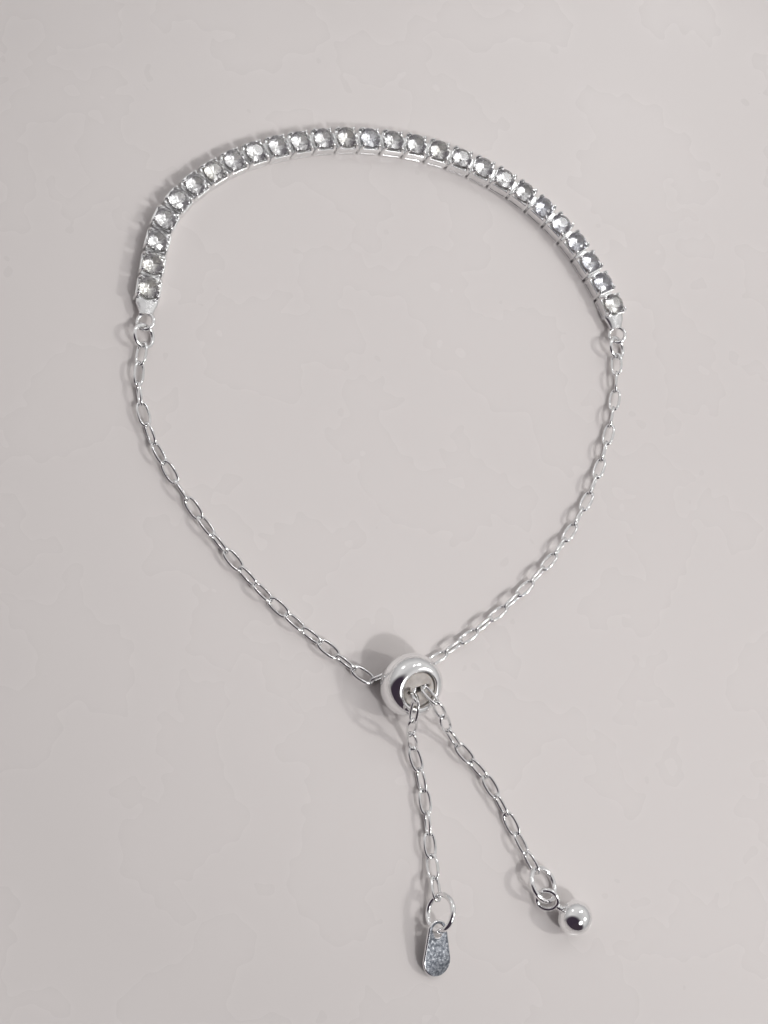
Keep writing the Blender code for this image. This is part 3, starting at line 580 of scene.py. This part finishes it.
def stone_shape(place, forward, width, turn):
    """A round brilliant of table, stars, bezels, girdles and pavilion facets, slightly tilted."""
    radius = 0.5 * STONE_DIAMETER
    pivot = place + UP * STONE_GIRDLE_HEIGHT
    step = math.pi / MAINS

    def points(share, angle_steps, level):
        spots = []
        for index in angle_steps:
            angle = step * index
            spoke = forward * math.cos(angle) + width * math.sin(angle)
            spots.append(place + share * radius * spoke + UP * (STONE_GIRDLE_HEIGHT + level))
        return spots

    star_height = CROWN_HEIGHT * (1.0 - STAR_SHARE * math.cos(step)) / (1.0 - TABLE_SHARE)
    lower_depth = PAVILION_DEPTH * (1.0 - LOWER_SHARE * math.cos(step))
    main = range(0, HALVES, 2)
    between = range(1, HALVES, 2)
    half_girdle = 0.5 * GIRDLE_THICKNESS
    verts = (points(TABLE_SHARE, main, CROWN_HEIGHT) + points(STAR_SHARE, between, star_height)
             + points(1.0, range(HALVES), half_girdle) + points(1.0, range(HALVES), -half_girdle)
             + points(LOWER_SHARE, between, -lower_depth)
             + [place + UP * (STONE_GIRDLE_HEIGHT - PAVILION_DEPTH)])
    star, top = MAINS, 2 * MAINS
    lower = top + 2 * HALVES
    culet = lower + MAINS
    faces = [tuple(range(MAINS))]
    for index in range(MAINS):
        onward = (index + 1) % MAINS
        before = (index - 1) % MAINS
        here = top + 2 * index
        middle = here + 1
        following = top + (2 * index + 2) % HALVES
        faces.append((index, star + index, onward))
        faces.append((index, star + before, here, star + index))
        faces.append((star + index, here, middle))
        faces.append((star + index, middle, following))
        for first, second in ((here, middle), (middle, following)):
            faces.append((first, second, second + HALVES, first + HALVES))
        faces.append((lower + index, here + HALVES, middle + HALVES))
        faces.append((lower + index, middle + HALVES, following + HALVES))
        faces.append((culet, lower + before, here + HALVES, lower + index))
    shape = Shape()
    shape.add([pivot + turn @ (vert - pivot) for vert in verts], faces)
    return shape


def small_tilt(order):
    """A random small turn of a stone in its seat."""
    heading = order.uniform(0.0, math.tau)
    axis = Vector((math.cos(heading), math.sin(heading), 0.0))
    tilt = Matrix.Rotation(math.radians(order.uniform(0.0, STONE_TILT)), 3, axis)
    spin = Matrix.Rotation(order.uniform(0.0, math.tau / MAINS), 3, "Z")
    return np.array(tilt @ spin)


def claw(shape, foot, inward):
    """A corner post that bends into a rounded claw over the stone's edge."""
    centres = [foot + UP * level + inward * lean for level, _, lean in CLAW_ROWS]
    side = np.cross(UP, inward)
    turns = []
    for before, after in zip([centres[0]] + centres[:-1], centres[1:] + [centres[-1]]):
        turns.append(np.cross(side, unit(after - before)))
    sizes = [size for _, size, _ in CLAW_ROWS]
    shape.tube(centres, turns, [side] * len(sizes), sizes, CLAW_SIDES, closed=False)


def setting_shape(shape, place, forward):
    """A square box of corner posts with claws, base rails and top rails."""
    _, side, _ = frame_along(forward)
    reach_x = 0.5 * (BOX_LENGTH - POST_SIZE)
    reach_y = 0.5 * (BOX_WIDTH - POST_SIZE)
    for sx in (1, -1):
        for sy in (1, -1):
            inward = unit(-forward * sx - side * sy)
            claw(shape, place + forward * sx * reach_x + side * sy * reach_y, inward)
    low, high = TOP_RAIL
    for level, tall in ((0.5 * RAIL_SIZE + RAIL_LIFT, RAIL_SIZE), (0.5 * (low + high), high - low)):
        for sign in (1, -1):
            shape.rounded_bar(place + side * sign * (0.5 * (BOX_WIDTH - RAIL_SIZE)) + UP * level,
                              (forward, side, UP), (2 * reach_x, RAIL_SIZE, tall), RAIL_ROUNDING)
            shape.rounded_bar(place + forward * sign * (0.5 * (BOX_LENGTH - RAIL_SIZE)) + UP * level,
                              (side, forward, UP), (2 * reach_y, RAIL_SIZE, tall), RAIL_ROUNDING)


def tab_shape(shape, place, outward):
    """The tapered end piece with its eye."""
    forward, side, up = frame_along(outward)
    root = place + outward * 0.5 * BOX_LENGTH + UP * EYE_HEIGHT
    wide = 0.5 * BOX_WIDTH - TAB_INSET
    rows = [(along, share * wide) for along, share in TAB_ROWS]
    rows.append((TAB_LENGTH + EYE_OVERLAP * EYE_WIRE, 0.5 * TAB_TIP_WIDTH))
    verts = []
    for along, half in rows:
        for w, h in TAB_SECTION:
            verts.append(root + forward * along + side * half * w + up * 0.5 * TAB_THICKNESS * h)
    shape.loft(verts, len(TAB_SECTION), closed=False, flipped=True)
    eye = root + outward * (TAB_LENGTH + EYE_RADIUS)
    shape.ring(eye, leaning_frame(outward, EYE_LEAN), EYE_RADIUS, EYE_WIRE)
    return eye


def material_of(name, build):
    material = bpy.data.materials.new(name)
    material.use_nodes = True
    tree = material.node_tree
    build(tree, tree.nodes["Principled BSDF"])
    return material


def grey(value):
    return value, value, value


def noise(tree, scale, detail=3.0):
    """A noise texture in object coordinates."""
    place = tree.nodes.new("ShaderNodeTexCoord")
    texture = tree.nodes.new("ShaderNodeTexNoise")
    texture.inputs["Scale"].default_value = scale
    texture.inputs["Detail"].default_value = detail
    texture.inputs["Roughness"].default_value = NOISE_ROUGHNESS
    tree.links.new(place.outputs["Object"], texture.inputs["Vector"])
    return texture.outputs["Fac"]


def ramp(tree, source, stops):
    """Colours between stops of a place and a colour."""
    node = tree.nodes.new("ShaderNodeValToRGB")
    tree.links.new(source, node.inputs["Fac"])
    elements = node.color_ramp.elements
    while len(elements) < len(stops):
        elements.new(0.5)
    for element, (place, colour) in zip(elements, stops):
        element.position = place
        element.color = (*colour, 1.0)
    return node.outputs["Color"]


def paint(tree, socket, source, stops):
    tree.links.new(ramp(tree, source, stops), socket)


def bump(tree, shader, source, strength, distance):
    node = tree.nodes.new("ShaderNodeBump")
    node.inputs["Strength"].default_value = strength
    node.inputs["Distance"].default_value = distance
    tree.links.new(source, node.inputs["Height"])
    tree.links.new(node.outputs["Normal"], shader.inputs["Normal"])


def silver(name, tint, low, high, scale, depth):
    """Pale metal, between two roughnesses, with a fine grain."""
    def build(tree, shader):
        shader.inputs["Metallic"].default_value = 1.0
        paint(tree, shader.inputs["Base Color"], noise(tree, scale),
              [(0.3, grey(DULL_SHARE * tint)), (0.7, grey(tint))])
        paint(tree, shader.inputs["Roughness"], noise(tree, 2.5 * scale),
              [(0.3, grey(low)), (0.75, grey(high))])
        bump(tree, shader, noise(tree, 1.6 * scale, 4.0), 0.25, depth)
    return material_of(name, build)


def crystal(name, tint):
    """Clear cut stone with a faint tint."""
    def build(tree, shader):
        shader.inputs["Roughness"].default_value = CRYSTAL_ROUGHNESS
        shader.inputs["IOR"].default_value = CRYSTAL_IOR
        shader.inputs["Transmission Weight"].default_value = 1.0
        paint(tree, shader.inputs["Base Color"], noise(tree, 900.0), [(0.3, tint), (0.7, grey(1.0))])
    return material_of(name, build)


def brushed(tree, shader):
    """Pale blue-grey metal with fine bright grains."""
    shader.inputs["Metallic"].default_value = 1.0
    paint(tree, shader.inputs["Base Color"], noise(tree, 3000.0, 5.0),
          [(0.38, (0.09, 0.098, 0.115)), (0.58, (0.24, 0.252, 0.275)), (0.72, (0.60, 0.62, 0.65))])
    paint(tree, shader.inputs["Roughness"], noise(tree, 2600.0, 4.0),
          [(0.3, grey(0.46)), (0.7, grey(0.64))])
    bump(tree, shader, noise(tree, 2200.0, 5.0), 0.6, 0.00004)


def silicone(tree, shader):
    """Soft milky rubber with fine pits, its colour mottled at random."""
    shader.inputs["Roughness"].default_value = 0.42
    shader.inputs["Subsurface Weight"].default_value = 0.35
    shader.inputs["Subsurface Radius"].default_value = (0.0016, 0.0011, 0.0008)
    paint(tree, shader.inputs["Base Color"], noise(tree, 700.0),
          [(0.3, (0.37, 0.335, 0.31)), (0.7, (0.54, 0.505, 0.475))])
    bump(tree, shader, noise(tree, 1500.0), 0.3, 0.00003)


def polished_stone(tree, shader):
    """Pale grey floor with a soft gloss and a faint mottle, and painted shade: its colour darkens far
    from a painted bright spot.
    """
    mottle = ramp(tree, noise(tree, 9.0, 5.0),
                  [(0.05, (0.675, 0.635, 0.622)), (0.95, (0.705, 0.663, 0.649))])
    # Painted light and painted shade: the floor's colour is multiplied down with distance from the
    # painted bright spot
    place = tree.nodes.new("ShaderNodeTexCoord")
    far = tree.nodes.new("ShaderNodeVectorMath")
    far.operation = "DISTANCE"
    far.inputs[1].default_value = FLOOR_PAINTED_LIGHT_SPOT
    tree.links.new(place.outputs["Object"], far.inputs[0])
    painted_shade = ramp(tree, far.outputs["Value"], [(reach, grey(share)) for reach, share in FLOOR_PAINTED_SHADE])
    product = tree.nodes.new("ShaderNodeMix")
    product.data_type = "RGBA"
    product.blend_type = "MULTIPLY"
    product.inputs["Factor"].default_value = 1.0
    tree.links.new(mottle, product.inputs["A"])
    tree.links.new(painted_shade, product.inputs["B"])
    tree.links.new(product.outputs["Result"], shader.inputs["Base Color"])
    paint(tree, shader.inputs["Roughness"], noise(tree, 60.0),
          [(0.3, grey(0.26)), (0.7, grey(0.29))])
    shader.inputs["Specular IOR Level"].default_value = 0.35


def bead_profile():
    """A fine section of the bead, with rounded rims at the hole."""
    half = 0.5 * BEAD_THICKNESS
    bore = 0.5 * CORE_DIAMETER + CORE_CLEARANCE
    bulge = 0.5 * BEAD_DIAMETER - BEAD_FACE_RADIUS
    profile = [(bore + out, -half + inset) for out, inset in BORE_RIM]
    for step in range(BEAD_STEPS + 1):
        angle = math.pi * (step / BEAD_STEPS - 0.5)
        profile.append((BEAD_FACE_RADIUS + bulge * math.cos(angle), half * math.sin(angle)))
    return profile + [(bore + out, half - inset) for out, inset in reversed(BORE_RIM)]


def core_shape():
    """The soft plug, pinched to a narrower slot than the solid's, with a rounded front rim."""
    middle, axis, side, downhill = bead_frame()
    half = 0.5 * BEAD_THICKNESS
    low, high = -half + CORE_BACK_INSET, half - CORE_FRONT_INSET
    verts = []
    for outer_share, slot_share, end, inset in CORE_ROWS:
        along = low + inset if end == "back" else high - inset
        for index in range(CORE_SEGMENTS):
            angle = math.tau * (index + 0.5) / CORE_SEGMENTS
            across, down = math.cos(angle), math.sin(angle)
            if outer_share > 0.0:
                a = 0.5 * CORE_DIAMETER * across * outer_share
                d = 0.5 * CORE_DIAMETER * down * outer_share
            else:
                a = math.copysign(0.5 * LIP_WIDTH * abs(across) ** LIP_ROUNDNESS, across) * slot_share
                d = math.copysign(0.5 * LIP_HEIGHT * abs(down) ** LIP_ROUNDNESS, down) * slot_share
            verts.append(middle + side * a + downhill * d + axis * along)
    shape = Shape()
    shape.loft(verts, CORE_SEGMENTS, flipped=True)
    return shape


def teardrop(margin, steps):
    """Outline of the tag as (along, width) points, drawn in by a margin."""
    neck, belly = 0.5 * TAG_NECK_WIDTH, 0.5 * TAG_WIDTH
    outline = []
    for place, radius, arc, middle, count in (
            (0.0, neck - margin, TAG_NECK_ARC, 180.0, steps[0]),
            (TAG_LENGTH - neck - belly, belly - margin, 360.0 - TAG_NECK_ARC, 0.0, steps[1])):
        for step in range(count + 1):
            angle = math.radians(middle - 0.5 * arc + arc * step / count)
            outline.append((place + radius * math.cos(angle), radius * math.sin(angle)))
    return outline


def resting_frame(origin, direction, outline):
    """Frame of the leaning plate, dipped until its low edge lies on the surface."""
    level = unit(direction * (1.0, 1.0, 0.0))
    low, high = 0.0, DEEPEST_DIP
    for _ in range(DIP_HALVINGS):
        dip = 0.5 * (low + high)
        along, side, face = leaning_frame(level * math.cos(dip) - UP * math.sin(dip), TAG_LEAN)
        bottom = min(origin[2] + along[2] * a + side[2] * w for a, w in outline)
        if bottom - 0.5 * TAG_THICKNESS * abs(face[2]) > CHAIN_LIFT:
            low = dip
        else:
            high = dip
    return along, side, face


def tag_shape(centre, direction):
    """The teardrop plate with softly rounded edges and a hole, and the faces of its edges."""
    spoke, _ = ring_spoke(direction, LEFT_TAIL_RING_LEAN, TAG_HOOK_TURN)
    place = centre + spoke * TAIL_RING_RADIUS
    along, side, face = resting_frame(place, direction, teardrop(0.0, SOLID_TAG_STEPS))
    half = 0.5 * TAG_THICKNESS
    verts = []
    for margin, level in [(m, -l) for m, l in reversed(TAG_RIM)] + TAG_RIM:
        outline = teardrop(margin, TAG_STEPS)
        verts += [place + along * a + side * w + face * half * level for a, w in outline]
    angles = [math.atan2(w, a) for a, w in outline]
    for margin, level in TAG_HOLE_RIM[::-1] + [(m, -l) for m, l in TAG_HOLE_RIM]:
        verts += [place + (0.5 * TAG_HOLE + margin) * (along * math.cos(t) + side * math.sin(t))
                  + face * half * level for t in angles]
    shape = Shape()
    shape.loft(verts, len(angles), flipped=True)
    flat = (2 * len(TAG_RIM) - 1, 2 * len(TAG_RIM) + 2 * len(TAG_HOLE_RIM) - 1)
    rim = [index for index in range(len(shape.faces)) if index // len(angles) not in flat]
    return shape, rim


def ball_shape(centre, direction):
    """The polished ball, its short neck and its eye."""
    heading = math.radians(BALL_HEADING)
    spoke, wire = ring_spoke(direction, RIGHT_TAIL_RING_LEAN, BALL_HOOK_TURN)
    hooked = centre + spoke * TAIL_RING_RADIUS
    radius = 0.5 * BALL_DIAMETER
    ball_reach = BALL_EYE_RADIUS + 0.5 * BALL_EYE_WIRE + BALL_NECK_LENGTH + radius
    taut = BALL_EYE_RADIUS - 0.5 * (TAIL_RING_WIRE + BALL_EYE_WIRE) - RING_CLEARANCE
    hook = taut - BALL_SLACK
    fall = math.asin((hooked[2] - radius - CHAIN_LIFT) / (hook + ball_reach))
    along = np.array([math.cos(heading) * math.cos(fall), math.sin(heading) * math.cos(fall),
                      -math.sin(fall)])
    eye = hooked + along * hook
    ball = eye + along * ball_reach
    neck = 0.5 * BALL_NECK_DIAMETER
    collar = -radius - BALL_NECK_LENGTH
    foot_share, foot_gap = BALL_NECK_FOOT
    profile = [(share * neck, collar + reach) for share, reach in BALL_NECK_ROWS]
    profile.append((foot_share * neck, -radius - foot_gap))
    first = math.asin(neck / radius)
    for step in range(BALL_STEPS):
        angle = first + (math.pi - first) * step / BALL_STEPS
        profile.append((radius * math.sin(angle), -radius * math.cos(angle)))
    profile.append((0.0, radius))
    shape = Shape()
    shape.turned(ball, along, profile, BALL_SEGMENTS)
    shape.ring(eye, threaded_frame(along, wire), BALL_EYE_RADIUS, BALL_EYE_WIRE)
    return shape


def add_light(name, azimuth, elevation, power, colour):
    """A round lamp that looks at the middle of the piece."""
    light = bpy.data.lights.new(name, "AREA")
    light.shape = "DISK"
    light.size = LAMP_SIZE
    light.energy = power
    light.color = colour
    lamp = bpy.data.objects.new(name, light)
    bpy.context.scene.collection.objects.link(lamp)
    away = Vector(toward(azimuth, elevation))
    lamp.location = away * LAMP_DISTANCE
    lamp.rotation_euler = away.to_track_quat("Z", "Y").to_euler()


def add_camera(shift):
    """The camera that was fitted to the photograph."""
    tilt, roll = math.radians(CAMERA_TILT), math.radians(CAMERA_ROLL)
    ct, st, cr, sr = math.cos(tilt), math.sin(tilt), math.cos(roll), math.sin(roll)
    turned_right = np.array([cr, -sr, 0.0])
    turned_down = np.array([-ct * sr, -ct * cr, -st])
    ahead = np.array([st * sr, st * cr, -ct])
    right = cr * turned_right - sr * turned_down
    down = sr * turned_right + cr * turned_down
    data = bpy.data.cameras.new("photo_camera")
    data.sensor_width = SENSOR
    data.lens = FOCAL_PIXELS / IMAGE_HEIGHT * SENSOR
    data.clip_start = CLIP_START
    camera = bpy.data.objects.new("photo_camera", data)
    place = (np.array(CAMERA_PLACE) - (shift[0], shift[1], 0.0)) * MM
    rows = [[right[k], -down[k], -ahead[k], place[k]] for k in range(3)]
    camera.matrix_world = Matrix(rows + [[0.0, 0.0, 0.0, 1.0]])
    bpy.context.scene.collection.objects.link(camera)
    bpy.context.scene.camera = camera


def patch(tree, heading, azimuth, elevation, inner, outer):
    """One inside a cone of directions, and zero outside a wider one."""
    near = tree.nodes.new("ShaderNodeVectorMath")
    near.operation = "DOT_PRODUCT"
    near.inputs[1].default_value = toward(azimuth, elevation)
    tree.links.new(heading, near.inputs[0])
    scale = tree.nodes.new("ShaderNodeMapRange")
    scale.interpolation_type = "SMOOTHSTEP"
    scale.inputs["From Min"].default_value = math.cos(math.radians(outer))
    scale.inputs["From Max"].default_value = math.cos(math.radians(inner))
    tree.links.new(near.outputs["Value"], scale.inputs["Value"])
    return scale.outputs["Result"]


def blend(tree, factor, under, colour):
    """A colour laid over another where the factor is one."""
    mix = tree.nodes.new("ShaderNodeMix")
    mix.data_type = "RGBA"
    mix.clamp_factor = True
    tree.links.new(factor, mix.inputs["Factor"])
    tree.links.new(under, mix.inputs["A"])
    mix.inputs["B"].default_value = (*colour, 1.0)
    return mix.outputs["Result"]


def add_world():
    """A pale room, dimmer at the horizon and overhead, with dark and bright patches."""
    world = bpy.data.worlds.new("room")
    world.use_nodes = True
    tree = world.node_tree
    place = tree.nodes.new("ShaderNodeTexCoord")
    heading = place.outputs["Generated"]
    split = tree.nodes.new("ShaderNodeSeparateXYZ")
    tree.links.new(heading, split.inputs["Vector"])
    colour = ramp(tree, split.outputs["Z"], ROOM_STOPS)
    for azimuth, elevation, inner, outer, tint in ROOM_PATCHES:
        colour = blend(tree, patch(tree, heading, azimuth, elevation, inner, outer), colour, tint)
    background = tree.nodes["Background"]
    tree.links.new(colour, background.inputs["Color"])
    background.inputs["Strength"].default_value = ROOM_STRENGTH
    bpy.context.scene.world = world


def add_floor(material):
    mesh = bpy.data.meshes.new("floor")
    signs = ((-1, -1), (1, -1), (1, 1), (-1, 1))
    corners = [(x * FLOOR_HALF, y * FLOOR_HALF, 0.0) for x, y in signs]
    mesh.from_pydata(corners, [], [(0, 1, 2, 3)])
    mesh.materials.append(material)
    floor = bpy.data.objects.new("floor", mesh)
    bpy.context.scene.collection.objects.link(floor)


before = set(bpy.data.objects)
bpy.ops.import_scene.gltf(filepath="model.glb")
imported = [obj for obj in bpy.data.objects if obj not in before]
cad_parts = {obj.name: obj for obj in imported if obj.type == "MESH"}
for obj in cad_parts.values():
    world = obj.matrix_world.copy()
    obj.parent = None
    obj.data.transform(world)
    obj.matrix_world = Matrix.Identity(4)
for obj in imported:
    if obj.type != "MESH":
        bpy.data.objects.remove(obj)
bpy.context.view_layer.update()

centres, tangents, outwards = row_places()
low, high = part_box("stone_14")
middle_stone = 0.5 * (np.array(low) + np.array(high)) / MM
shift = centres[MIDDLE_STONE - 1] - middle_stone

polished = silver("polished_silver", 0.95, 0.04, 0.10, 300.0, 0.00001)
chain_silver = silver("chain_silver", 0.90, 0.03, 0.09, 500.0, 0.00001)
cast_silver = silver("setting_silver", 0.93, 0.14, 0.3, 700.0, 0.00002)
brushed_silver = material_of("brushed_tag", brushed)
soft_silicone = material_of("milky_silicone", silicone)
stones = [crystal("crystal_clear", grey(0.98)), crystal("crystal_cool", (0.86, 0.89, 1.0)),
          crystal("crystal_warm", (1.0, 0.98, 0.90))]

order = random.Random(STONE_SEED)
row = Shape()
for index, (place, forward) in enumerate(zip(centres, tangents), start=1):
    _, side, _ = frame_along(forward)
    setting_shape(row, place, forward)
    tint = order.choice(TINT_CHOICES)
    stone = stone_shape(place, forward, side, small_tilt(order))
    make_piece(f"brilliant_{index:02d}", stone, stones[tint],
               [f"stone_{index:02d}"], smooth=False, shift=shift)
for here, following in zip(centres, centres[1:]):
    forward, side, up = frame_along(following - here)
    reach = np.linalg.norm(following - here) - BOX_LENGTH + POST_SIZE
    row.rounded_bar(0.5 * (here + following) + UP * HINGE_LEVEL, (forward, side, up),
                    (reach, *HINGE), HINGE_ROUNDING)
eyes = [tab_shape(row, place, outward)
        for place, outward in zip((centres[0], centres[-1]), outwards)]
make_piece("box_settings", row, cast_silver, ["settings_row"], shift=shift)

middle, axis, _, _ = bead_frame()
bead = Shape()
bead.turned(middle, axis, bead_profile(), BEAD_SEGMENTS)
make_piece("polished_bead", bead, polished, ["slider_bead"], shift=shift)
make_piece("silicone_plug", core_shape(), soft_silicone, ["silicone_core"],
           shift=shift)

for side_name, eye, tail_lean in (("left", eyes[0], LEFT_TAIL_RING_LEAN),
                                  ("right", eyes[1], RIGHT_TAIL_RING_LEAN)):
    direction = unit(with_height(ROUTES[side_name])[0] - eye)
    taut = EYE_RADIUS - 0.5 * (EYE_WIRE + RING_WIRE) - RING_CLEARANCE
    ring_centre = eye + direction * (taut + RING_RADIUS)
    ring = Shape()
    ring.ring(ring_centre, leaning_frame(direction, RING_LEAN), RING_RADIUS, RING_WIRE)
    make_piece("end_ring_" + side_name, ring, polished, ["jump_ring_" + side_name],
               shift=shift)
    reach = 0.5 * RING_OUTER - RING_WIRE - RING_CLEARANCE - 0.5 * LINK_OVERLAP
    joints, run_links = strand_joints(side_name, ring_centre + direction * reach)
    strand = Shape()
    for joint, following, letter in zip(joints, joints[1:], lay_of_strand(side_name, run_links)):
        link_shape(strand, joint, following, LEANS[letter])
    make_piece("cable_" + side_name, strand, chain_silver, ["chain_" + side_name],
               shift=shift)
    tail_centre, tail_direction = tail_ring_spot(joints, tail_lean)
    tail_ring = Shape()
    tail_ring.ring(tail_centre, leaning_frame(tail_direction, tail_lean), TAIL_RING_RADIUS,
                   TAIL_RING_WIRE)
    make_piece("charm_ring_" + side_name, tail_ring, polished,
               ["tail_ring_" + side_name], shift=shift)
    if side_name == "left":
        plate, rim = tag_shape(tail_centre, tail_direction)
        tag = make_piece("drop_tag", plate, brushed_silver, ["teardrop_tag"],
                         shift=shift)
        tag.data.materials.append(polished)
        for index in rim:
            tag.data.polygons[index].material_index = 1
    else:
        make_piece("drop_ball", ball_shape(tail_centre, tail_direction), polished,
                   ["ball_charm"], shift=shift)

add_floor(material_of("polished_stone", polished_stone))
add_world()
for name, azimuth, elevation, power, colour in LAMPS:
    add_light(name, azimuth, elevation, power, colour)
add_camera(shift)
bpy.context.scene.view_settings.view_transform = "Standard"
